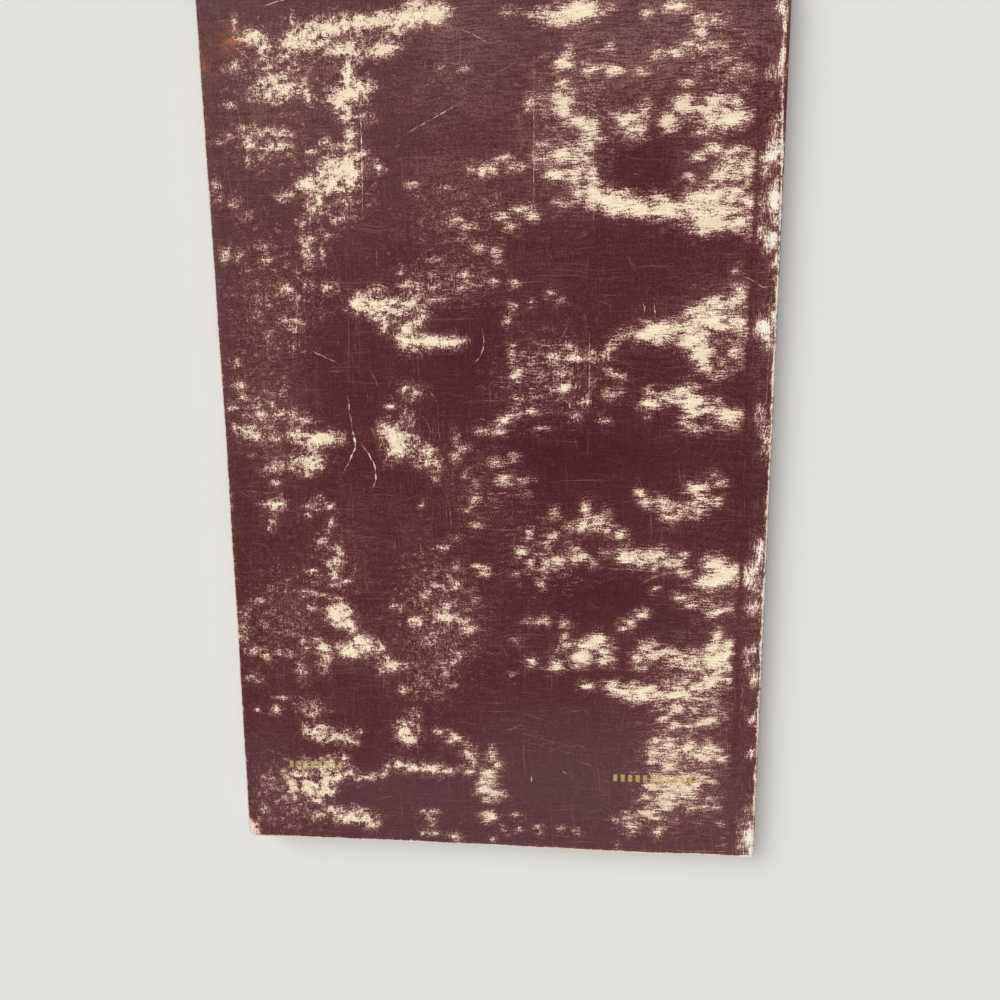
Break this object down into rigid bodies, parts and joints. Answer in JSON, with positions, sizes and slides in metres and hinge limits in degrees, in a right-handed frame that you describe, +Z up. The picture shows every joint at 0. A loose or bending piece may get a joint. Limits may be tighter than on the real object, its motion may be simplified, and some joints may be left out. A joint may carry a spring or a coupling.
{
  "type": "softcover owner's manual",
  "caption": "Worn softcover owner's manual: a trimmed page block glued into a square spine, with card covers that fold open along pressed score lines.",
  "frame": {"origin": "centre of the closed manual's footprint, on the outer face of the front cover, which it lies on", "axes": "+X towards the spine, +Y towards the head, +Z up through the back cover"},
  "size_m": [0.1334, 0.2096, 0.0078],
  "materials": {
    "pages": "matte",
    "glue": "satin",
    "cover": "satin"
  },
  "bodies": {
    "block": {"page_block": "pages", "binding_glue": "glue", "spine": "cover"},
    "back": {"back_cover": "cover"},
    "front": {"front_cover": "cover"}
  },
  "joints": [
    {"name": "back_cover_hinge", "type": "hinge", "parent": "block", "child": "back", "pos_m": [0.06055, 0, 0.00785], "axis": [0, 1, 0], "range_deg": [0, 180]},
    {"name": "front_cover_hinge", "type": "hinge", "parent": "block", "child": "front", "pos_m": [0.06055, 0, -0.00005], "axis": [0, -1, 0], "range_deg": [0, 180]}
  ]
}
